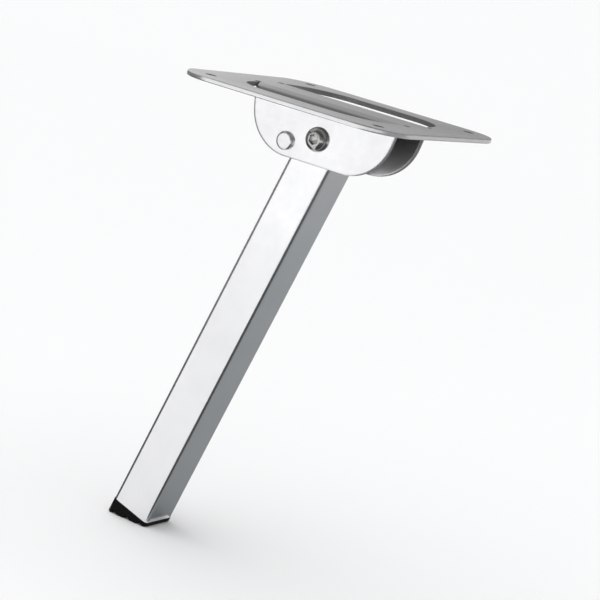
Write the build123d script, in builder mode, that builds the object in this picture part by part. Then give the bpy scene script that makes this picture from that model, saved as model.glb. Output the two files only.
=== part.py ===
from build123d import *
from math import cos, hypot, radians, sin, tan
import os

# Folding table leg. A pressed steel plate is screwed under the table. Two cheeks, cut free on three sides
# and bent down out of the plate, carry a square steel tube on one bolt. A rivet through the cheeks stops
# the open leg. The origin is the middle of the plate's top face. Z points up, X points to the side that the
# leg folds to, and the pivot runs along Y. Sizes are in millimetres and degrees, and the leg stands open.

# Overall
leg_height = 252.0  # from the plate's top face to the floor
leg_splay = 15.0  # lean of the open leg from upright

# Mounting plate
plate_side = 130.0
plate_corner_radius = 22.0
sheet = 2.5
sheet_edge_break = 0.4  # slope that deburring leaves on the cut edges
screw_inset = 15.0  # from the plate's edges to the screw holes
screw_hole_diameter = 6.0
cheek_top_length = 87.0
cheek_lean = 11.0  # lean of the cheeks' side edges from upright
cheek_corner_radius = 25.0
cheek_margin = 3.0  # between the stop rivet's head and the cheeks' lower edge
bend_radius = 2.0  # inside of each bend
bend_neutral = 0.4  # part of the sheet from the inside of the bend to the layer that keeps its length
shear_gap = 0.4  # between a window and the flap that was cut out of it
relief_diameter = 4.0  # round notches at the ends of each bend

# Leg tube
tube_side = 25.0
tube_wall = 1.5
tube_inner_radius = 1.0
tube_head = 8.0  # tube above the pivot
swing_gap = 2.0  # between the plate and the corners of the swinging tube

# Foot
foot_heel = 2.5  # thickness under the tube on its thin side
foot_lip = 0.3  # how far the foot stands proud of the tube
foot_edge_break = 0.8
groove_count = 3
groove_radius = 2.4
groove_depth = 2.0
plug_length = 20.0
plug_wall = 2.0
plug_core_gap = 1.4  # between the plug's core and the tube's wall, which the barbs bridge
barb_count = 3
barb_height = 2.0
barb_taper = 15.0
barb_gap = 0.1

# Pivot bolt, with a button head and a hexagon socket
bolt_diameter = 8.0
bolt_end = 2.9  # thread that shows past the nut
bolt_tip_chamfer = 0.8
bolt_head_diameter = 13.0
bolt_head_height = 4.4
bolt_head_land = 0.7  # straight rim under the dome
bolt_head_flat = 7.2  # flat round the socket
bolt_head_bulge = 0.6  # rise of the dome's arc over its chord
socket_across_flats = 5.0
socket_depth = 2.6
hole_clearance = 0.1  # round the bolt in the cheeks, the tube and the washers
running_clearance = 0.06  # round the bolt in the sleeve that turns on it

# Washers, sleeve and nut
friction_washer_diameter = 16.0
friction_washer_thickness = 1.25
sleeve_wall = 2.0
flat_washer_diameter = 16.0
flat_washer_thickness = 1.6
nut_wall = 2.5  # from the bolt to the nut's flats
nut_hex_height = 5.4
nut_height = 8.0
nut_chamfer = 0.6
nut_collar_step = 0.7  # from the nut's flats in to its round collar
nut_collar_chamfer = 0.7
nut_lip = 0.5  # rolled over the nylon ring
insert_wall = 0.9
insert_height = 2.0
insert_clearance = 0.05
thread_clearance = 0.05

# Stop rivet
rivet_diameter = 7.0
rivet_head_lip = 1.5  # from the rivet's shank to the rim of its heads
rivet_head_height = 2.2
rivet_head_round = 1.5
rivet_reach = 10.0  # from the pivot to the rivet, along the open leg
rivet_hole_clearance = 0.05
stop_clearance = 0.2  # between the rivet and the open tube

# Leaning frame of the open leg
pivot_drop = sheet + swing_gap + hypot(tube_side / 2, tube_head)
sin_splay = sin(radians(leg_splay))
cos_splay = cos(radians(leg_splay))
pivot = (0, 0, -pivot_drop)
leg_across = (cos_splay, 0, -sin_splay)
leg_upward = (sin_splay, 0, cos_splay)
leg_plane = Plane(origin=pivot, x_dir=leg_across, z_dir=leg_upward)
leg_side_plane = Plane(origin=pivot, x_dir=leg_across, z_dir=(0, -1, 0))
pivot_section = Plane(origin=pivot, x_dir=(0, 1, 0), z_dir=(1, 0, 0))
pivot_axis = Axis(pivot, (0, 1, 0))


def sole_reach(across):
    """Distance down the leg from the pivot to the floor, at a distance across the leg."""
    return (leg_height - pivot_drop - across * sin_splay) / cos_splay


def pivot_plane(y):
    """Plane square to the pivot, with its origin on the pivot, facing away from the bolt's head."""
    return Plane(origin=(0, y, -pivot_drop), x_dir=(1, 0, 0), z_dir=(0, 1, 0))


# Stop rivet's place, beside the open tube
rivet_head_diameter = rivet_diameter + 2 * rivet_head_lip
rivet_across = -(tube_side / 2 + stop_clearance + rivet_diameter / 2)
rivet_x = rivet_across * cos_splay - rivet_reach * sin_splay
rivet_z = -pivot_drop - rivet_across * sin_splay - rivet_reach * cos_splay

# Mounting plate: the flat blank with its windows, the two bends, and the two cheeks below them
cheek_depth = -rivet_z + rivet_head_diameter / 2 + cheek_margin
cheek_inner = tube_side / 2 + friction_washer_thickness
cheek_outer = cheek_inner + sheet
bend_outer = bend_radius + sheet
cheek_bottom_half = cheek_top_length / 2 - (cheek_depth - bend_outer) * tan(radians(cheek_lean))
web_half = cheek_outer - bend_outer
bend_allowance = radians(90) * (bend_radius + bend_neutral * sheet)
window_end = web_half + bend_allowance + cheek_depth - bend_outer + shear_gap
window_top_half = cheek_top_length / 2 + shear_gap
window_bottom_half = cheek_bottom_half + shear_gap
screw_pitch = plate_side - 2 * screw_inset
bolt_hole_radius = bolt_diameter / 2 + hole_clearance
with BuildPart() as mounting_plate:
    with BuildSketch(Plane.XY):
        RectangleRounded(plate_side, plate_side, plate_corner_radius)
        with GridLocations(screw_pitch, screw_pitch, 2, 2):
            Circle(screw_hole_diameter / 2, mode=Mode.SUBTRACT)
    extrude(amount=-sheet)
    flat_sides = mounting_plate.faces().filter_by(Plane.XY)
    chamfer([edge for side in flat_sides for edge in side.outer_wire().edges()], sheet_edge_break)
    with BuildSketch(Plane.XY):
        with BuildLine():
            Polyline(
                (-window_top_half, web_half),
                (window_top_half, web_half),
                (window_top_half, web_half + bend_allowance),
                (window_bottom_half, window_end),
                (-window_bottom_half, window_end),
                (-window_top_half, web_half + bend_allowance),
                close=True,
            )
        window = make_face()
        fillet(window.vertices().group_by(Axis.Y)[-1], cheek_corner_radius + shear_gap)
        with Locations((0, web_half)):
            with GridLocations(cheek_top_length + relief_diameter, 1, 2, 1):
                Circle(relief_diameter / 2)
        mirror(about=Plane.XZ)
    extrude(amount=-sheet, mode=Mode.SUBTRACT)
    with BuildSketch(Plane.YZ):
        with BuildLine():
            bend_centre = (web_half, -bend_outer)
            outside = CenterArc(bend_centre, bend_outer, 0, 90)
            inside = CenterArc(bend_centre, bend_radius, 0, 90)
            Line(outside @ 0, inside @ 0)
            Line(outside @ 1, inside @ 1)
        make_face()
        mirror(about=Plane.YZ)
    extrude(amount=cheek_top_length / 2, both=True)
    with BuildSketch(Plane.XZ.offset(cheek_outer), Plane.XZ.offset(-cheek_inner)):
        with BuildLine():
            Polyline(
                (-cheek_top_length / 2, -bend_outer),
                (cheek_top_length / 2, -bend_outer),
                (cheek_bottom_half, -cheek_depth),
                (-cheek_bottom_half, -cheek_depth),
                close=True,
            )
        cheek = make_face()
        fillet(cheek.vertices().group_by(Axis.Y)[0], cheek_corner_radius)
        with Locations((0, -pivot_drop)):
            Circle(bolt_hole_radius, mode=Mode.SUBTRACT)
        with Locations((rivet_x, rivet_z)):
            Circle(rivet_diameter / 2 + rivet_hole_clearance, mode=Mode.SUBTRACT)
    extrude(amount=-sheet)
    upright_sides = mounting_plate.faces().filter_by(Plane.XZ)
    cheek_sides = upright_sides.filter_by(lambda side: side.center().Z < -bend_outer)
    cheek_rims = [edge for side in cheek_sides for edge in side.outer_wire().edges()]
    lower_rims = [edge for edge in cheek_rims if edge.center().Z < -bend_outer - sheet_edge_break]
    chamfer(lower_rims, sheet_edge_break)
mounting_plate.part.label = "mounting_plate"

# Leg tube: square steel tube, cut off square at both ends and drilled for the pivot bolt
tube_inner = tube_side - 2 * tube_wall
tube_outer_radius = tube_inner_radius + tube_wall
tube_reach = sole_reach(tube_side / 2) - foot_heel
with BuildPart() as leg_tube:
    with BuildSketch(leg_plane.offset(tube_head)):
        RectangleRounded(tube_side, tube_side, tube_outer_radius)
        RectangleRounded(tube_inner, tube_inner, tube_inner_radius, mode=Mode.SUBTRACT)
    extrude(amount=-tube_head - tube_reach)
    with BuildSketch(leg_side_plane):
        Circle(bolt_hole_radius)
    extrude(amount=tube_side, both=True, mode=Mode.SUBTRACT)
leg_tube.part.label = "leg_tube"

# Foot: moulded wedge with a flat, grooved sole, and a hollow barbed plug up the tube
foot_side = tube_side + 2 * foot_lip
sole_x = -sole_reach(0) * sin_splay
groove_pitch = foot_side / cos_splay / groove_count
plug_core = tube_inner - 2 * plug_core_gap
barb_side = tube_inner - 2 * barb_gap
barb_pitch = plug_length / (barb_count + 1)
with BuildPart() as foot:
    with BuildSketch(leg_side_plane):
        Polygon(
            (-foot_side / 2, -tube_reach),
            (foot_side / 2, -tube_reach),
            (foot_side / 2, -sole_reach(foot_side / 2)),
            (-foot_side / 2, -sole_reach(-foot_side / 2)),
            align=None,
        )
    extrude(amount=foot_side / 2, both=True)
    fillet(foot.edges().filter_by(Axis(pivot, leg_upward)), tube_outer_radius + foot_lip)
    chamfer(foot.faces().sort_by(Axis.Z)[0].edges(), foot_edge_break)
    with BuildSketch(Plane.XZ):
        with Locations((sole_x, -leg_height - groove_radius + groove_depth)):
            with GridLocations(groove_pitch, 1, groove_count, 1):
                Circle(groove_radius)
    extrude(amount=foot_side, both=True, mode=Mode.SUBTRACT)
    with BuildSketch(leg_plane.offset(-tube_reach)):
        RectangleRounded(plug_core, plug_core, tube_inner_radius)
    extrude(amount=plug_length)
    for barb in range(barb_count):
        with BuildSketch(leg_plane.offset(-tube_reach + (barb + 1) * barb_pitch)):
            RectangleRounded(barb_side, barb_side, tube_inner_radius)
        extrude(amount=barb_height, taper=barb_taper)
    with BuildSketch(leg_plane.offset(-tube_reach)):
        RectangleRounded(plug_core - 2 * plug_wall, plug_core - 2 * plug_wall, tube_inner_radius)
    extrude(amount=plug_length, mode=Mode.SUBTRACT)
foot.part.label = "foot"

# Pivot bolt: turned button head and shank, with the hexagon socket pressed into the head
bolt_shank = 2 * cheek_outer + flat_washer_thickness + nut_height + bolt_end
with BuildPart() as pivot_bolt:
    with BuildSketch(pivot_section):
        with BuildLine():
            crown = (-cheek_outer - bolt_head_height, bolt_head_flat / 2)
            rim = (-cheek_outer - bolt_head_land, bolt_head_diameter / 2)
            SagittaArc(crown, rim, -bolt_head_bulge)
            Polyline(
                rim,
                (-cheek_outer, bolt_head_diameter / 2),
                (-cheek_outer, bolt_diameter / 2),
                (-cheek_outer + bolt_shank - bolt_tip_chamfer, bolt_diameter / 2),
                (-cheek_outer + bolt_shank, bolt_diameter / 2 - bolt_tip_chamfer),
                (-cheek_outer + bolt_shank, 0),
                (-cheek_outer - bolt_head_height, 0),
                crown,
            )
        make_face()
    revolve(axis=pivot_axis)
    with BuildSketch(pivot_plane(-cheek_outer - bolt_head_height)):
        RegularPolygon(socket_across_flats / 2, 6, major_radius=False)
    extrude(amount=socket_depth, mode=Mode.SUBTRACT)
pivot_bolt.part.label = "pivot_bolt"

# Friction washers: two thin nylon rings that fill the gap between the tube and the cheeks
friction_washers = []
for washer_name, washer_y in (("near", -cheek_inner), ("far", tube_side / 2)):
    with BuildPart() as friction_washer:
        with BuildSketch(pivot_plane(washer_y)):
            Circle(friction_washer_diameter / 2)
            Circle(bolt_hole_radius, mode=Mode.SUBTRACT)
        extrude(amount=friction_washer_thickness)
    friction_washer.part.label = "friction_washer_" + washer_name
    friction_washers.append(friction_washer)

# Spacer sleeve: steel sleeve that turns on the bolt and keeps the tube's walls apart
with BuildPart() as spacer_sleeve:
    with BuildSketch(pivot_plane(-tube_inner / 2)):
        Circle(bolt_diameter / 2 + sleeve_wall)
        Circle(bolt_diameter / 2 + running_clearance, mode=Mode.SUBTRACT)
    extrude(amount=tube_inner)
spacer_sleeve.part.label = "spacer_sleeve"

# Flat washer: stamped steel ring between the far cheek and the nut
with BuildPart() as flat_washer:
    with BuildSketch(pivot_plane(cheek_outer)):
        Circle(flat_washer_diameter / 2)
        Circle(bolt_hole_radius, mode=Mode.SUBTRACT)
    extrude(amount=flat_washer_thickness)
flat_washer.part.label = "flat_washer"

# Lock nut: chamfered hexagon with a round collar, hollowed for a nylon ring and rolled over it
nut_seat = cheek_outer + flat_washer_thickness
nut_flat = bolt_diameter / 2 + nut_wall
nut_collar_radius = nut_flat - nut_collar_step
insert_radius = bolt_diameter / 2 + insert_wall
insert_start = nut_seat + nut_height - nut_lip - insert_height
with BuildPart() as lock_nut:
    with BuildSketch(pivot_plane(nut_seat)):
        RegularPolygon(nut_flat, 6, major_radius=False)
    extrude(amount=nut_hex_height)
    with BuildSketch(pivot_section):
        with BuildLine():
            Polyline(
                (nut_seat, 0),
                (nut_seat, nut_flat),
                (nut_seat + nut_chamfer, nut_flat + 2 * nut_chamfer),
                (nut_seat + nut_hex_height - nut_chamfer, nut_flat + 2 * nut_chamfer),
                (nut_seat + nut_hex_height, nut_flat),
                (nut_seat + nut_hex_height, 0),
                close=True,
            )
        make_face()
    revolve(axis=pivot_axis, mode=Mode.INTERSECT)
    with BuildSketch(pivot_plane(nut_seat + nut_hex_height)):
        Circle(nut_collar_radius)
    extrude(amount=nut_height - nut_hex_height)
    chamfer(lock_nut.faces().sort_by(Axis.Y)[-1].outer_wire().edges(), nut_collar_chamfer)
    with BuildSketch(pivot_plane(nut_seat)):
        Circle(bolt_diameter / 2 + thread_clearance)
    extrude(amount=nut_height, mode=Mode.SUBTRACT)
    with BuildSketch(pivot_plane(insert_start)):
        Circle(insert_radius)
    extrude(amount=insert_height, mode=Mode.SUBTRACT)
lock_nut.part.label = "lock_nut"

# Nut insert: nylon ring held in the nut's collar, which grips the thread
with BuildPart() as nut_insert:
    with BuildSketch(pivot_plane(insert_start)):
        Circle(insert_radius - insert_clearance)
        Circle(bolt_diameter / 2 + thread_clearance, mode=Mode.SUBTRACT)
    extrude(amount=insert_height)
nut_insert.part.label = "nut_insert"

# Stop rivet: shank through both cheeks, with a flat head with a rounded rim outside each
with BuildPart() as stop_rivet:
    with BuildSketch(Plane(origin=(rivet_x, 0, rivet_z), x_dir=(0, 1, 0), z_dir=(1, 0, 0))):
        with BuildLine():
            Polyline(
                (0, 0),
                (0, rivet_diameter / 2),
                (cheek_outer, rivet_diameter / 2),
                (cheek_outer, rivet_head_diameter / 2),
                (cheek_outer + rivet_head_height, rivet_head_diameter / 2),
                (cheek_outer + rivet_head_height, 0),
                close=True,
            )
        half_rivet = make_face()
        fillet(half_rivet.vertices().group_by(Axis.X)[-1].sort_by(Axis.Y)[-1], rivet_head_round)
        mirror(about=Plane.YZ)
    revolve(axis=Axis((rivet_x, 0, rivet_z), (0, 1, 0)))
stop_rivet.part.label = "stop_rivet"

# One file for each piece
os.makedirs("parts", exist_ok=True)
leg_pieces = [leg_tube, foot, spacer_sleeve]
fasteners = [pivot_bolt, *friction_washers, flat_washer, lock_nut, nut_insert, stop_rivet]
for piece in [mounting_plate, *leg_pieces, *fasteners]:
    export_step(piece.part, "parts/" + piece.part.label + ".step")
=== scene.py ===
from math import cos, pi, radians, sin

import bpy
import numpy as np
from mathutils import Matrix, Vector


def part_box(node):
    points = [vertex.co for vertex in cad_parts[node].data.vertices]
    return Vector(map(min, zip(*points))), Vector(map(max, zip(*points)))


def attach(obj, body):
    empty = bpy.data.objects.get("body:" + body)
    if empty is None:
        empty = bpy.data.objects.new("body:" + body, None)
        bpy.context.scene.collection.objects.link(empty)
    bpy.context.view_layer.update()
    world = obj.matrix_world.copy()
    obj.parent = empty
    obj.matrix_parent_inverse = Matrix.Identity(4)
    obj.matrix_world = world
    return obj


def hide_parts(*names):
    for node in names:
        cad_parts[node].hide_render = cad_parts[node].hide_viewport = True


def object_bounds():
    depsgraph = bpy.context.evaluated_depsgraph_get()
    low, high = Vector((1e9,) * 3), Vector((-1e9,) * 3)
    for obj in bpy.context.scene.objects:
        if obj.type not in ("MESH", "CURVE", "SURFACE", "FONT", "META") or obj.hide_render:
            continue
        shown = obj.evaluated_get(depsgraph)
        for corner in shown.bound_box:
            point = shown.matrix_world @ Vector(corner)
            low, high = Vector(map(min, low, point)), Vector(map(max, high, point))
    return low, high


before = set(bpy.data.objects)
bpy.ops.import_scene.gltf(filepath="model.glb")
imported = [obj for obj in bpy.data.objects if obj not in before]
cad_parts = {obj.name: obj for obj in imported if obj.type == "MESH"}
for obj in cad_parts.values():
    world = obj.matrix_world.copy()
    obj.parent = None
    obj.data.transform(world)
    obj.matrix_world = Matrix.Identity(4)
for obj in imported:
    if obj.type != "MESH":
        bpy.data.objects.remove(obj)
cad_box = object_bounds()

# Mounting plate. The real one is a square of mild steel sheet whose two cheeks are
# lanced out of the middle and bent down, then barrel-plated bright. It is screwed
# to the underside of the table and carries everything else.
plate_colour = (0.86, 0.86, 0.865, 1.0)
plate_shade = (0.80, 0.80, 0.81, 1.0)
plate_bare = (0.66, 0.65, 0.64, 1.0)
# Painted shade: the middle colour darkens the middle of the plate, away from its borders.
plate_middle_shade = (0.62, 0.615, 0.615, 1.0)
# Painted shade: the recess colour darkens the inner faces of the cheeks, most near the plate.
plate_recess_shade = (0.18, 0.18, 0.175, 1.0)
# The cut colour darkens the cut walls: partly the torn steel's own duller tone, partly painted shade
# inside holes and windows.
plate_cut = (0.46, 0.455, 0.45, 1.0)
plate_soft = 0.0005
cheek_soft = 0.0016
middle_reach = 0.030
border_reach = 0.060
holes_reach = 0.055
sheet_under = -0.0027
bend_run_out = -0.0046
recess_bottom = -0.036
recess_top = -0.010
rub_width = 0.0007
brink_width = 0.0024
line_depth = 0.00002
lines_share = 0.35
wall_roughness = 0.55
blanked_share = 0.52
no_turn = (0.0, 0.0, 0.0)


def finish(name):
    """An empty material with a Principled shader: returns the material, its nodes,
    a wiring call, the shader and the Object coordinates."""
    made = bpy.data.materials.new(name)
    made.use_nodes = True
    nodes = made.node_tree.nodes
    place = nodes.new("ShaderNodeTexCoord")
    return made, nodes, made.node_tree.links.new, nodes["Principled BSDF"], place.outputs["Object"]


def node_group(name, inputs, outputs):
    """An empty shader node group with named sockets: returns the tree, its nodes,
    a wiring call, and the nodes that hold its inputs and outputs."""
    tree = bpy.data.node_groups.new(name, "ShaderNodeTree")
    for label, kind, value in inputs:
        socket = tree.interface.new_socket(label, in_out="INPUT", socket_type=kind)
        if value is not None:
            socket.default_value = value
    for label in outputs:
        tree.interface.new_socket(label, in_out="OUTPUT", socket_type="NodeSocketFloat")
    entry = tree.nodes.new("NodeGroupInput")
    leave = tree.nodes.new("NodeGroupOutput")
    return tree, tree.nodes, tree.links.new, entry, leave


def place_group(nodes, tree, **values):
    """Puts a node group into a material and sets its plain inputs, by name."""
    node = nodes.new("ShaderNodeGroup")
    node.node_tree = tree
    for label, value in values.items():
        node.inputs[label].default_value = value
    return node


def feed(wire, socket, value):
    """Gives an input its value, which is a number or colour to set or another socket to wire."""
    if isinstance(value, (float, tuple)):
        socket.default_value = value
    else:
        wire(value, socket)


def remap(nodes, wire, source, low, high, start=0.0, end=1.0):
    """Carries a value from start..end over to low..high, held at both ends."""
    node = nodes.new("ShaderNodeMapRange")
    node.inputs["From Min"].default_value = start
    node.inputs["From Max"].default_value = end
    node.inputs["To Min"].default_value = low
    node.inputs["To Max"].default_value = high
    wire(source, node.inputs["Value"])
    return node.outputs["Result"]


def blend_colours(nodes, wire, mask, first, second):
    """Mixes two colours, each a colour or a socket, by a mask from 0 to 1."""
    node = nodes.new("ShaderNodeMix")
    node.data_type = "RGBA"
    wire(mask, node.inputs["Factor"])
    feed(wire, node.inputs["A"], first)
    feed(wire, node.inputs["B"], second)
    return node.outputs["Result"]


def reckon(nodes, wire, operation, first, second):
    """A Math node on two values, each a number or a socket: returns its result."""
    node = nodes.new("ShaderNodeMath")
    node.operation = operation
    feed(wire, node.inputs[0], first)
    feed(wire, node.inputs[1], second)
    return node.outputs["Value"]


def noise(nodes, wire, vector, scale, detail):
    """A noise from 0 to 1 read at a vector, whose scale is a number or a socket."""
    node = nodes.new("ShaderNodeTexNoise")
    node.inputs["Detail"].default_value = detail
    wire(vector, node.inputs["Vector"])
    feed(wire, node.inputs["Scale"], scale)
    return node.outputs["Fac"]


def relief(nodes, wire, height, strength, depth):
    """A Bump node that presses a height into the surface, depth metres deep."""
    node = nodes.new("ShaderNodeBump")
    node.inputs["Strength"].default_value = strength
    node.inputs["Distance"].default_value = depth
    wire(height, node.inputs["Height"])
    return node


def dress(node, material):
    """Takes the plain material off a CAD node and gives it the finished one."""
    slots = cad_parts[node].data.materials
    slots.clear()
    slots.append(material)


# Haze: the soft clouds that handling and the plating bath leave on bright metal.
# One wide noise and one seven times finer are added, seven parts to three.
haze, nodes, wire, entry, leave = node_group(
    "plating_haze",
    [("Vector", "NodeSocketVector", None), ("Scale", "NodeSocketFloat", 40.0)],
    ["Haze"],
)
finer = reckon(nodes, wire, "MULTIPLY", entry.outputs["Scale"], 7.0)
wide = noise(nodes, wire, entry.outputs["Vector"], entry.outputs["Scale"], 4.0)
fine = noise(nodes, wire, entry.outputs["Vector"], finer, 3.0)
wide_part = reckon(nodes, wire, "MULTIPLY", wide, 0.7)
fine_part = reckon(nodes, wire, "MULTIPLY", fine, 0.3)
clouded = reckon(nodes, wire, "ADD", wide_part, fine_part)
wire(remap(nodes, wire, clouded, 0.0, 1.0, 0.32, 0.68), leave.inputs["Haze"])

# Mill lines: the fine parallel lines that rolls and dies leave along a sheet or tube.
# A noise squeezed across the lines and pulled out along X gives long thin streaks.
mill_lines, nodes, wire, entry, leave = node_group(
    "mill_lines",
    [
        ("Vector", "NodeSocketVector", None),
        ("Along", "NodeSocketFloat", 12.0),
        ("Across", "NodeSocketFloat", 1500.0),
    ],
    ["Lines"],
)
pull = nodes.new("ShaderNodeCombineXYZ")
stretch = nodes.new("ShaderNodeVectorMath")
stretch.operation = "MULTIPLY"
wire(entry.outputs["Along"], pull.inputs["X"])
wire(entry.outputs["Across"], pull.inputs["Y"])
wire(entry.outputs["Across"], pull.inputs["Z"])
wire(entry.outputs["Vector"], stretch.inputs[0])
wire(pull.outputs["Vector"], stretch.inputs[1])
streaks = noise(nodes, wire, stretch.outputs["Vector"], 1.0, 3.0)
wire(remap(nodes, wire, streaks, 0.0, 1.0, 0.3, 0.7), leave.inputs["Lines"])

# Edge rub: where a bevelled normal turns away from the true one there is an edge, as wide
# as the bevel's radius, and a patchy noise leaves it rubbed in places only.
edge_rub, nodes, wire, entry, leave = node_group(
    "edge_rub",
    [
        ("Vector", "NodeSocketVector", None),
        ("Radius", "NodeSocketFloat", 0.0006),
        ("Patches", "NodeSocketFloat", 90.0),
    ],
    ["Rub", "Edge"],
)
bevel = nodes.new("ShaderNodeBevel")
bevel.samples = 8
facing = nodes.new("ShaderNodeNewGeometry")
turn = nodes.new("ShaderNodeVectorMath")
turn.operation = "DOT_PRODUCT"
wire(entry.outputs["Radius"], bevel.inputs["Radius"])
wire(bevel.outputs["Normal"], turn.inputs[0])
wire(facing.outputs["Normal"], turn.inputs[1])
edge = remap(nodes, wire, turn.outputs["Value"], 1.0, 0.0, 0.80, 0.99)
patches = noise(nodes, wire, entry.outputs["Vector"], entry.outputs["Patches"], 2.0)
touched = remap(nodes, wire, patches, 0.15, 1.0, 0.4, 0.65)
wire(edge, leave.inputs["Edge"])
wire(reckon(nodes, wire, "MULTIPLY", edge, touched), leave.inputs["Rub"])

# Sheet masks. Middle is painted shade: it darkens the middle of the plate, away from its borders.
# Recess is painted shade too: it darkens the inner faces of the cheeks, most near the plate. Cut is the
# torn wall of holes, windows and cheeks, and Rim the plate's outer wall, which the blanking die leaves
# smoother.
sheet_masks, nodes, wire, entry, leave = node_group(
    "sheet_masks",
    [("Vector", "NodeSocketVector", None), ("Normal", "NodeSocketVector", None)],
    ["Middle", "Recess Shade", "Cut", "Rim", "Cheek"],
)
spot = nodes.new("ShaderNodeSeparateXYZ")
tilt = nodes.new("ShaderNodeSeparateXYZ")
wire(entry.outputs["Vector"], spot.inputs["Vector"])
wire(entry.outputs["Normal"], tilt.inputs["Vector"])
aside = reckon(nodes, wire, "ABSOLUTE", spot.outputs["X"], 0.0)
astern = reckon(nodes, wire, "ABSOLUTE", spot.outputs["Y"], 0.0)
reach = reckon(nodes, wire, "MAXIMUM", aside, astern)
# Painted shade mask: the middle of the plate, away from its borders, at the plate's level.
from_border = remap(nodes, wire, reach, 1.0, 0.0, middle_reach, border_reach)
at_plate = remap(nodes, wire, spot.outputs["Z"], 0.0, 1.0, -0.0040, -0.0010)
wire(reckon(nodes, wire, "MULTIPLY", from_border, at_plate), leave.inputs["Middle"])
in_cheek = reckon(nodes, wire, "LESS_THAN", spot.outputs["Z"], bend_run_out)
inwards = reckon(nodes, wire, "MULTIPLY", spot.outputs["Y"], tilt.outputs["Y"])
facing_in = reckon(nodes, wire, "LESS_THAN", inwards, -0.005)
inner_face = reckon(nodes, wire, "MULTIPLY", facing_in, in_cheek)
# Painted shade mask: the inner faces of the cheeks, strongest near the plate.
recess_shade = remap(nodes, wire, spot.outputs["Z"], 0.35, 1.0, recess_bottom, recess_top)
wire(reckon(nodes, wire, "MULTIPLY", inner_face, recess_shade), leave.inputs["Recess Shade"])
slope = reckon(nodes, wire, "ABSOLUTE", tilt.outputs["Z"], 0.0)
upright_wall = reckon(nodes, wire, "LESS_THAN", slope, 0.4)
in_plate = reckon(nodes, wire, "GREATER_THAN", spot.outputs["Z"], sheet_under)
sheet_wall = reckon(nodes, wire, "MULTIPLY", upright_wall, in_plate)
within = reckon(nodes, wire, "LESS_THAN", reach, holes_reach)
hole_wall = reckon(nodes, wire, "MULTIPLY", sheet_wall, within)
sideways = reckon(nodes, wire, "ABSOLUTE", tilt.outputs["Y"], 0.0)
cheek_rim = reckon(nodes, wire, "LESS_THAN", sideways, 0.5)
rim_cut = reckon(nodes, wire, "MULTIPLY", cheek_rim, in_cheek)
wire(reckon(nodes, wire, "MAXIMUM", hole_wall, rim_cut), leave.inputs["Cut"])
wire(reckon(nodes, wire, "SUBTRACT", sheet_wall, hole_wall), leave.inputs["Rim"])
wire(in_cheek, leave.inputs["Cheek"])


def bright_plating(name, colours, smooth, rough, lines_turn, along, across, sheet=None):
    """Plated steel. Its colours are the plating, its shade and the bare tone: the first clouds towards
    the second with the haze, and the third shows on rubbed edges. The roughness runs from smooth to rough
    with haze and mill lines, which also press a faint bump. A sheet has its colours of the middle and
    recess, which are painted shade, and of the cut, and the radii that tumbling gives plate and cheeks."""
    colour, shade, bare = colours
    made, nodes, wire, shader, place = finish(name)
    turned = nodes.new("ShaderNodeMapping")
    turned.inputs["Rotation"].default_value = lines_turn
    clouds = place_group(nodes, haze, Scale=38.0)
    lines = place_group(nodes, mill_lines, Along=along, Across=across)
    rub = place_group(nodes, edge_rub, Radius=rub_width, Patches=120.0)
    wire(place, turned.inputs["Vector"])
    wire(place, clouds.inputs["Vector"])
    wire(turned.outputs["Vector"], lines.inputs["Vector"])
    wire(place, rub.inputs["Vector"])
    tone = blend_colours(nodes, wire, clouds.outputs["Haze"], colour, shade)
    worn = remap(nodes, wire, rub.outputs["Rub"], 0.0, 0.6)
    metal = blend_colours(nodes, wire, worn, tone, bare)
    lined = reckon(nodes, wire, "MULTIPLY", lines.outputs["Lines"], lines_share)
    grain = reckon(nodes, wire, "ADD", lined, clouds.outputs["Haze"])
    gloss = remap(nodes, wire, grain, smooth, rough, 0.0, 1.0 + lines_share)
    press = relief(nodes, wire, lines.outputs["Lines"], 0.12, line_depth)
    if sheet:
        middle_shade_colour, recess_shade_colour, cut, plate_radius, cheek_radius = sheet
        regions = place_group(nodes, sheet_masks)
        wire(place, regions.inputs["Vector"])
        wire(nodes["Texture Coordinate"].outputs["Normal"], regions.inputs["Normal"])
        # Painted shade: the middle of the plate is darkened away from its borders.
        metal = blend_colours(nodes, wire, regions.outputs["Middle"], metal, middle_shade_colour)
        # Painted shade: the inner faces of the cheeks are darkened, most near the plate, but not along
        # their edges.
        brink = place_group(nodes, edge_rub, Radius=brink_width)
        wire(place, brink.inputs["Vector"])
        inland = remap(nodes, wire, brink.outputs["Edge"], 1.0, 0.0, 0.0, 0.6)
        recess_shade = reckon(nodes, wire, "MULTIPLY", regions.outputs["Recess Shade"], inland)
        metal = blend_colours(nodes, wire, recess_shade, metal, recess_shade_colour)
        # Cut walls darker: partly the torn steel's duller tone, partly painted shade inside holes and
        # windows.
        metal = blend_colours(nodes, wire, regions.outputs["Cut"], metal, cut)
        rough_walls = reckon(nodes, wire, "MAXIMUM", regions.outputs["Recess Shade"], regions.outputs["Cut"])
        blanked_wall = remap(nodes, wire, regions.outputs["Rim"], 0.0, blanked_share)
        dull = reckon(nodes, wire, "MAXIMUM", rough_walls, blanked_wall)
        gloss = reckon(nodes, wire, "MAXIMUM", gloss, remap(nodes, wire, dull, 0.0, wall_roughness))
        rolled_face = remap(nodes, wire, regions.outputs["Rim"], 1.0, 0.0)
        wire(reckon(nodes, wire, "MULTIPLY", lines.outputs["Lines"], rolled_face), press.inputs["Height"])
        tumbled = nodes.new("ShaderNodeBevel")
        tumbled.samples = 8
        radius = remap(nodes, wire, regions.outputs["Cheek"], plate_radius, cheek_radius)
        wire(radius, tumbled.inputs["Radius"])
        wire(tumbled.outputs["Normal"], press.inputs["Normal"])
    wire(metal, shader.inputs["Base Color"])
    wire(gloss, shader.inputs["Roughness"])
    wire(press.outputs["Normal"], shader.inputs["Normal"])
    shader.inputs["Metallic"].default_value = 1.0
    return made


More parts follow.
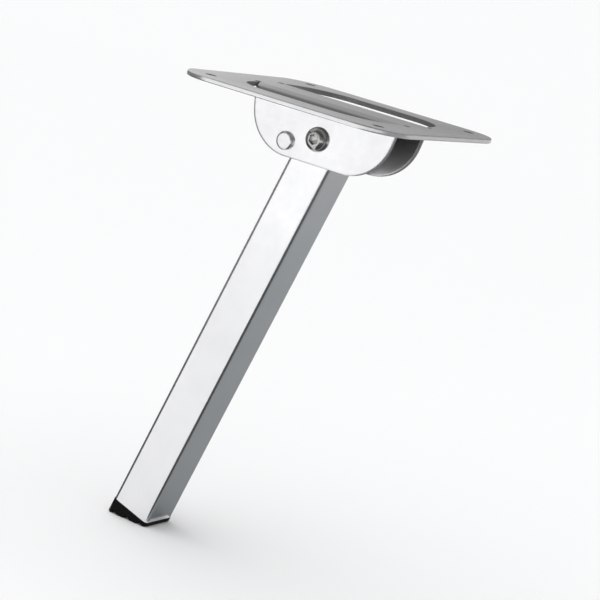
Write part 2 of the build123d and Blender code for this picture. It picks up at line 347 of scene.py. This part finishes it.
plated_sheet = bright_plating(
    "plated_sheet", (plate_colour, plate_shade, plate_bare), 0.16, 0.26, no_turn, 10.0, 1300.0,
    (plate_middle_shade, plate_recess_shade, plate_cut, plate_soft, cheek_soft),
)
dress("mounting_plate", plated_sheet)

# Leg tube. Square steel tube, cold-drawn with small rounded corners, cut square at
# both ends, drilled for the pivot and plated. Its die lines run along the tube,
# which leans with the open leg.
leg_splay = radians(15.0)
tube_colour = (0.88, 0.88, 0.89, 1.0)
tube_shade = (0.82, 0.82, 0.835, 1.0)
tube_bare = (0.62, 0.62, 0.62, 1.0)
along_tube = (0.0, leg_splay - radians(90.0), 0.0)
plated_tube = bright_plating(
    "plated_tube", (tube_colour, tube_shade, tube_bare), 0.12, 0.20, along_tube, 4.0, 1100.0
)
dress("leg_tube", plated_tube)

# Foot. A wedge of black polypropylene moulded in one piece with its ribbed sole and
# the barbed plug that is hammered into the tube. The mould leaves a fine matt grain,
# and the floor scuffs the edges of the ribs.
foot_colour = (0.004, 0.004, 0.0043, 1.0)
foot_scuff = (0.018, 0.018, 0.0185, 1.0)
moulded, nodes, wire, shader, place = finish("black_plastic")
clouds = place_group(nodes, haze, Scale=60.0)
scuffs = place_group(nodes, edge_rub, Radius=0.0012, Patches=260.0)
wire(place, clouds.inputs["Vector"])
wire(place, scuffs.inputs["Vector"])
wire(
    blend_colours(nodes, wire, scuffs.outputs["Rub"], foot_colour, foot_scuff),
    shader.inputs["Base Color"],
)
wire(remap(nodes, wire, clouds.outputs["Haze"], 0.42, 0.58), shader.inputs["Roughness"])
mould_grain = relief(nodes, wire, noise(nodes, wire, place, 2600.0, 2.0), 0.35, 0.00008)
wire(mould_grain.outputs["Normal"], shader.inputs["Normal"])
shader.inputs["Specular IOR Level"].default_value = 0.08
dress("foot", moulded)

# Spacer sleeve. A short piece of turned steel tube pressed between the tube's walls,
# so that the bolt can be drawn up tight without squeezing the leg. Left unplated, it
# keeps the rings of the lathe tool and a film of oil.
sleeve_steel = (0.36, 0.35, 0.34, 1.0)
sleeve_oil = (0.27, 0.255, 0.24, 1.0)
turned_steel, nodes, wire, shader, place = finish("bare_steel")
rings = nodes.new("ShaderNodeTexWave")
rings.bands_direction = "Y"
rings.inputs["Scale"].default_value = 900.0
rings.inputs["Distortion"].default_value = 0.6
clouds = place_group(nodes, haze, Scale=150.0)
wire(place, rings.inputs["Vector"])
wire(place, clouds.inputs["Vector"])
wire(
    blend_colours(nodes, wire, clouds.outputs["Haze"], sleeve_steel, sleeve_oil),
    shader.inputs["Base Color"],
)
wire(remap(nodes, wire, clouds.outputs["Haze"], 0.28, 0.45), shader.inputs["Roughness"])
tool_rings = relief(nodes, wire, rings.outputs["Fac"], 0.4, 0.00003)
wire(tool_rings.outputs["Normal"], shader.inputs["Normal"])
shader.inputs["Metallic"].default_value = 1.0
dress("spacer_sleeve", turned_steel)

# Friction washers and nut insert. Natural nylon, off-white and slightly waxy: two
# discs punched from sheet run between the tube and the cheeks, and a moulded ring in
# the lock nut grips the thread.
nylon_colour = (0.80, 0.79, 0.74, 1.0)
nylon_worn = (0.66, 0.65, 0.60, 1.0)
nylon, nodes, wire, shader, place = finish("nylon")
clouds = place_group(nodes, haze, Scale=180.0)
wire(place, clouds.inputs["Vector"])
wire(
    blend_colours(nodes, wire, clouds.outputs["Haze"], nylon_colour, nylon_worn),
    shader.inputs["Base Color"],
)
wire(remap(nodes, wire, clouds.outputs["Haze"], 0.38, 0.55), shader.inputs["Roughness"])
shader.inputs["Subsurface Weight"].default_value = 0.15
shader.inputs["Subsurface Radius"].default_value = (0.0010, 0.0009, 0.0007)
for ring in ("friction_washer_near", "friction_washer_far", "nut_insert"):
    dress(ring, nylon)

# Pivot bolt. A cold-formed button-head screw with a hexagon socket and a rolled
# thread, nickel-plated. The head lies on the near cheek and the threaded end stands
# a few turns proud of the lock nut on the far side.
bolt_low, bolt_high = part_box("pivot_bolt")
bolt_axis = Vector(((bolt_low.x + bolt_high.x) / 2, 0.0, (bolt_low.z + bolt_high.z) / 2))
bolt_radius = 0.0040
bolt_sides = 96
bolt_crease = radians(38.0)
head_height = 0.0044
head_radius = (bolt_high.x - bolt_low.x) / 2
head_seat = bolt_low.y + head_height
head_edge = 0.0002
head_land = 0.0007
head_flat_radius = 0.0036
head_bulge = 0.0006
dome_rows = 14
socket_flats = 0.0050
socket_depth = 0.0026
socket_mouth = 0.00015
socket_flare = 1.07
socket_cone = 0.0005
cone_point = 0.02
thread_pitch = 0.00125
thread_depth = 0.00077
thread_length = 0.0160
thread_rows = 220
crest_flat = 0.125
flank_share = 0.625
run_out_turns = 2.0
tip_chamfer = 0.0008
bolt_colour = (0.54, 0.535, 0.525, 1.0)
bolt_shade = (0.43, 0.425, 0.42, 1.0)
bolt_bare = (0.62, 0.62, 0.61, 1.0)
fastener_along = 400.0
fastener_across = 900.0


def revolved(name, radius, height, turns, axis, material, crease):
    """A closed skin from a grid of radii, with a row for each height along the pivot and a column
    for each turn: x is the axis's x plus r cos(turn), y is the height, and z is the axis's z plus
    r sin(turn). The first and last rows close on the axis."""
    rows, columns = radius.shape
    x = axis.x + radius * np.cos(turns)
    y = np.broadcast_to(height, radius.shape)
    z = axis.z + radius * np.sin(turns)
    skin = np.stack([x, y, z], -1).reshape(-1, 3)
    ends = np.array([[axis.x, height[0, 0], axis.z], [axis.x, height[-1, 0], axis.z]])
    points = np.concatenate([skin, ends])
    here = np.arange(columns)
    beside = (here + 1) % columns
    step = np.arange(rows - 1)[:, None] * columns
    corners = [step + here, step + beside, step + columns + beside, step + columns + here]
    quads = np.stack(corners, -1).reshape(-1, 4)
    last = (rows - 1) * columns
    first_fan = np.stack([np.full(columns, len(skin)), beside, here], -1)
    last_fan = np.stack([np.full(columns, len(skin) + 1), last + here, last + beside], -1)
    mesh = bpy.data.meshes.new(name)
    mesh.from_pydata(points.tolist(), [], quads.tolist() + first_fan.tolist() + last_fan.tolist())
    mesh.polygons.foreach_set("use_smooth", np.ones(len(mesh.polygons), bool))
    mesh.set_sharp_from_angle(angle=crease)
    mesh.materials.append(material)
    made = bpy.data.objects.new(name, mesh)
    bpy.context.scene.collection.objects.link(made)
    return made


# The thread: radius falls from the crest by a flat-bottomed V as the phase along the
# helix moves off the crest, fades out towards the shank and ends in the tip's cone.
bolt_turns = np.linspace(0.0, 2.0 * np.pi, bolt_sides, endpoint=False)[None, :]
thread_y = np.linspace(bolt_high.y, bolt_high.y - thread_length, thread_rows)[:, None]
phase = (thread_y / thread_pitch + bolt_turns / (2.0 * np.pi)) % 1.0
cut = np.clip((np.abs(phase - 0.5) * 2.0 - crest_flat) / flank_share, 0.0, 1.0)
run_out = np.clip((thread_y - thread_y[-1]) / (run_out_turns * thread_pitch), 0.0, 1.0)
thread_r = np.minimum(
    bolt_radius - thread_depth * cut * run_out,
    bolt_radius - tip_chamfer + (bolt_high.y - thread_y),
)

# The head: shank, seat, land, a dome on a bulged chord, the flat ring and the socket,
# whose radius is the hexagon's; each row is a profile point spread over all turns.
dome = np.linspace(0.0, 1.0, dome_rows)[:, None]
dome_rise = head_height - head_land
dome_run = head_radius - head_flat_radius
swell = 4.0 * head_bulge * dome * (1.0 - dome) / np.hypot(dome_run, dome_rise)
dome_r = head_radius - dome_run * dome + swell * dome_rise
dome_up = head_land + dome_rise * dome + swell * dome_run
shank_r = np.array([[bolt_radius], [bolt_radius], [head_radius - head_edge], [head_radius]])
shank_y = np.array([[thread_y[-1, 0]], [head_seat], [head_seat], [head_seat - head_edge]])
hexagon = socket_flats / 2 / np.cos((bolt_turns + np.pi / 6) % (np.pi / 3) - np.pi / 6)
socket_r = np.concatenate([hexagon * socket_flare, hexagon, hexagon, hexagon * cone_point])
socket_y = bolt_low.y + np.array([[0.0], [socket_mouth], [socket_depth], [socket_depth + socket_cone]])
round_r = np.concatenate([shank_r, dome_r])
round_r = np.broadcast_to(round_r, (len(round_r), bolt_sides))
bolt_r = np.concatenate([thread_r, round_r, socket_r])
bolt_y = np.concatenate([thread_y, shank_y, head_seat - dome_up, socket_y])
nickel = bright_plating(
    "plated_fastener", (bolt_colour, bolt_shade, bolt_bare), 0.12, 0.22,
    no_turn, fastener_along, fastener_across,
)
threaded_bolt = revolved("threaded_bolt", bolt_r, bolt_y, bolt_turns, bolt_axis, nickel, bolt_crease)
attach(threaded_bolt, "bracket")
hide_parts("pivot_bolt")

# Stop rivet. Soft steel, plated before it is set: its tail is pressed into a second
# head, so that it stays in the cheeks for good, and the open leg leans on it.
rivet_colour = (0.86, 0.86, 0.86, 1.0)
rivet_shade = (0.80, 0.80, 0.81, 1.0)
rivet_bare = (0.60, 0.59, 0.58, 1.0)
bright_zinc = bright_plating(
    "bright_zinc", (rivet_colour, rivet_shade, rivet_bare), 0.20, 0.28,
    no_turn, fastener_along, fastener_across,
)
dress("stop_rivet", bright_zinc)

# Flat washer and lock nut. The washer is punched and the nut cold-formed, with a collar
# rolled over its nylon ring. Both are bought parts in dull bluish zinc, tumbled in bulk,
# so that they stand out against the bright cheek.
zinc_colour = (0.50, 0.505, 0.52, 1.0)
zinc_shade = (0.38, 0.385, 0.40, 1.0)
zinc_bare = (0.64, 0.64, 0.65, 1.0)
dull_zinc = bright_plating(
    "dull_zinc", (zinc_colour, zinc_shade, zinc_bare), 0.26, 0.38,
    no_turn, fastener_along, fastener_across,
)
dress("flat_washer", dull_zinc)
dress("lock_nut", dull_zinc)

# Floor. A wide white sheet under the foot that sweeps up gently far out, so that its
# rim stands just above the line of sight: height rises by a smooth step of the radius.
floor_level = cad_box[0][2]
floor_white = (0.93, 0.935, 0.94, 1.0)
flat_radius = 4.0
rim_radius = 11.0
rim_height = 0.50
sweep_sides = 96
sweep_turns = np.linspace(0.0, 2.0 * np.pi, sweep_sides, endpoint=False)[None, :]
flat_rings = np.linspace(0.2, flat_radius, 12)
rising_rings = np.linspace(flat_radius + 0.4, rim_radius, 24)
sweep_radius = np.concatenate([flat_rings, rising_rings])[:, None]
rise = np.clip((sweep_radius - flat_radius) / (rim_radius - flat_radius), 0.0, 1.0)
sweep_up = floor_level + rim_height * rise * rise * (3.0 - 2.0 * rise)
sweep_x = sweep_radius * np.cos(sweep_turns)
sweep_y = sweep_radius * np.sin(sweep_turns)
sweep = np.stack([sweep_x, sweep_y, np.broadcast_to(sweep_up, sweep_x.shape)], -1).reshape(-1, 3)
here = np.arange(sweep_sides)
beside = (here + 1) % sweep_sides
inner = np.arange(len(sweep_radius) - 1)[:, None] * sweep_sides
outer = inner + sweep_sides
cells = np.stack([inner + here, outer + here, outer + beside, inner + beside], -1).reshape(-1, 4)
floor_mesh = bpy.data.meshes.new("floor")
floor_mesh.from_pydata(sweep.tolist(), [], cells.tolist() + [here.tolist()])
floor_mesh.polygons.foreach_set("use_smooth", np.ones(len(floor_mesh.polygons), bool))


def matt_board(name):
    """An empty matt finish for paper and board: returns what finish returns."""
    made = finish(name)
    shader = made[3]
    shader.inputs["Roughness"].default_value = 0.9
    shader.inputs["Specular IOR Level"].default_value = 0.1
    return made


paper, nodes, wire, shader, place = matt_board("white_sweep")
shader.inputs["Base Color"].default_value = floor_white
floor_mesh.materials.append(paper)
floor = bpy.data.objects.new("floor", floor_mesh)
bpy.context.scene.collection.objects.link(floor)

# Studio light. A soft lamp overhead lights the white floor, and a dim room lies round it:
# grey behind the set, palest behind its left end, dark in front, with a pale horizon. One
# upright soft box on the floor, left of the camera, is the bright shape that the metal shows.
room = bpy.data.worlds.new("room")
room.use_nodes = True
bpy.context.scene.world = room
nodes = room.node_tree.nodes
wire = room.node_tree.links.new
direction = nodes.new("ShaderNodeTexCoord")
parts = nodes.new("ShaderNodeSeparateXYZ")
wire(direction.outputs["Generated"], parts.inputs["Vector"])
from_behind = remap(nodes, wire, parts.outputs["Y"], 0.15, 0.42, -0.45, -0.08)
from_left = remap(nodes, wire, parts.outputs["X"], 1.52, 0.78, -0.56, -0.42)
horizon = remap(nodes, wire, parts.outputs["Z"], 0.36, 0.0, 0.12, 0.34)
walls = reckon(nodes, wire, "MULTIPLY", from_behind, from_left)
wire(reckon(nodes, wire, "MAXIMUM", walls, horizon), nodes["Background"].inputs["Strength"])
nodes["Background"].inputs["Color"].default_value = (1.0, 1.0, 1.0, 1.0)
box_width = 0.8
box_height = 0.6
box_level = 0.21
box_place = Vector((-0.30, -0.92, floor_level + 0.31))
box_aim = Vector((-box_place.x, -box_place.y, 0.0))
box_light = bpy.data.lights.new("soft_box", "AREA")
box_light.shape = "RECTANGLE"
box_light.size = box_width
box_light.size_y = box_height
box_light.energy = box_level * pi * box_width * box_height
soft_box = bpy.data.objects.new("soft_box", box_light)
soft_box.location = box_place
soft_box.rotation_euler = box_aim.to_track_quat("-Z", "Z").to_euler()
soft_box.visible_camera = False
bpy.context.scene.collection.objects.link(soft_box)
top_level = 2.42
top_aim = Vector((0.15, 0.25, -1.0))
top_light = bpy.data.lights.new("top_light", "SUN")
top_light.angle = radians(100.0)
top_light.energy = top_level
top_lamp = bpy.data.objects.new("top_light", top_light)
top_lamp.rotation_euler = top_aim.to_track_quat("-Z", "Y").to_euler()
top_lamp.visible_glossy = False
bpy.context.scene.collection.objects.link(top_lamp)

# Cards. A grey board lies on the floor behind the right of the set, a black one in front of
# it on the right and another on its left, all paler farther out, and two stand upright at the
# ends. Only the metal sees them: they shade its sides and draw dark lines along its edges.
card_lift = 0.001
card_height = 0.9
paling_from = 0.35


def card(name, tone, outline, height=0.0, far_tone=None, paling_to=None):
    """A flat board with an outline of (x, y) points on the floor, or, with a height, one that stands
    on the line between two points. With a far tone, its colour moves there as the distance from
    the origin grows from paling_from to paling_to."""
    board_paint, nodes, wire, shader, place = matt_board(name)
    shader.inputs["Base Color"].default_value = tone
    if far_tone:
        away = nodes.new("ShaderNodeVectorMath")
        away.operation = "LENGTH"
        wire(place, away.inputs[0])
        paling = remap(nodes, wire, away.outputs["Value"], 0.0, 1.0, paling_from, paling_to)
        wire(blend_colours(nodes, wire, paling, tone, far_tone), shader.inputs["Base Color"])
    foot_line = floor_level + card_lift
    corners = [(x, y, foot_line) for x, y in outline]
    if height:
        corners += [(x, y, foot_line + height) for x, y in reversed(outline)]
    board_mesh = bpy.data.meshes.new(name)
    board_mesh.from_pydata(corners, [], [range(len(corners))])
    board_mesh.materials.append(board_paint)
    board = bpy.data.objects.new(name, board_mesh)
    board.visible_camera = False
    board.visible_diffuse = False
    board.visible_shadow = False
    bpy.context.scene.collection.objects.link(board)


card(
    "card_right", (0.285, 0.303, 0.312, 1.0),
    [(-0.046, -0.013), (2.6, -0.35), (2.6, 3.6), (-0.06, 3.6), (-0.06, 0.02), (-0.046, 0.013)],
    far_tone=(0.46, 0.46, 0.46, 1.0), paling_to=1.0,
)
card(
    "card_front", (0.08, 0.08, 0.08, 1.0),
    [(-0.046, -0.014), (0.16, -0.70), (1.8, -0.70), (1.8, -0.25)],
    far_tone=(0.24, 0.24, 0.24, 1.0), paling_to=1.3,
)
card(
    "card_left", (0.08, 0.08, 0.08, 1.0),
    [(-3.5, -3.6), (-0.085, -0.02), (-0.085, 0.02), (-0.45, 2.2), (-3.5, 2.2)],
    far_tone=(0.20, 0.20, 0.20, 1.0), paling_to=2.1,
)
card("card_side", (0.30, 0.30, 0.30, 1.0), [(-3.5, -3.6), (-3.5, 2.2)], card_height)
card("card_end", (0.20, 0.20, 0.20, 1.0), [(2.6, -1.6), (2.6, 2.4)], card_height)

# Camera. It stands a little above the plate, to the right of the pivot's near side,
# and is rolled, so that the plate runs down to the right across the frame.
camera_place = Vector((0.492007, -0.886639, 0.090926))
camera_azimuth = radians(28.837)
camera_elevation = radians(10.955)
camera_roll = radians(14.066)
level = Vector((cos(camera_azimuth), sin(camera_azimuth), 0.0))
outward = Vector((sin(camera_azimuth), -cos(camera_azimuth), 0.0))
back = cos(camera_elevation) * outward + sin(camera_elevation) * Vector((0.0, 0.0, 1.0))
upright = back.cross(level)
right = cos(camera_roll) * level + sin(camera_roll) * upright
up = cos(camera_roll) * upright - sin(camera_roll) * level
camera_data = bpy.data.cameras.new("camera")
camera_data.lens = 117.70
camera_data.sensor_width = 36.0
camera_data.clip_end = 100.0
camera = bpy.data.objects.new("camera", camera_data)
camera.matrix_world = Matrix.Translation(camera_place) @ Matrix((right, up, back)).transposed().to_4x4()
bpy.context.scene.collection.objects.link(camera)
bpy.context.scene.camera = camera
bpy.context.scene.view_settings.view_transform = "Standard"
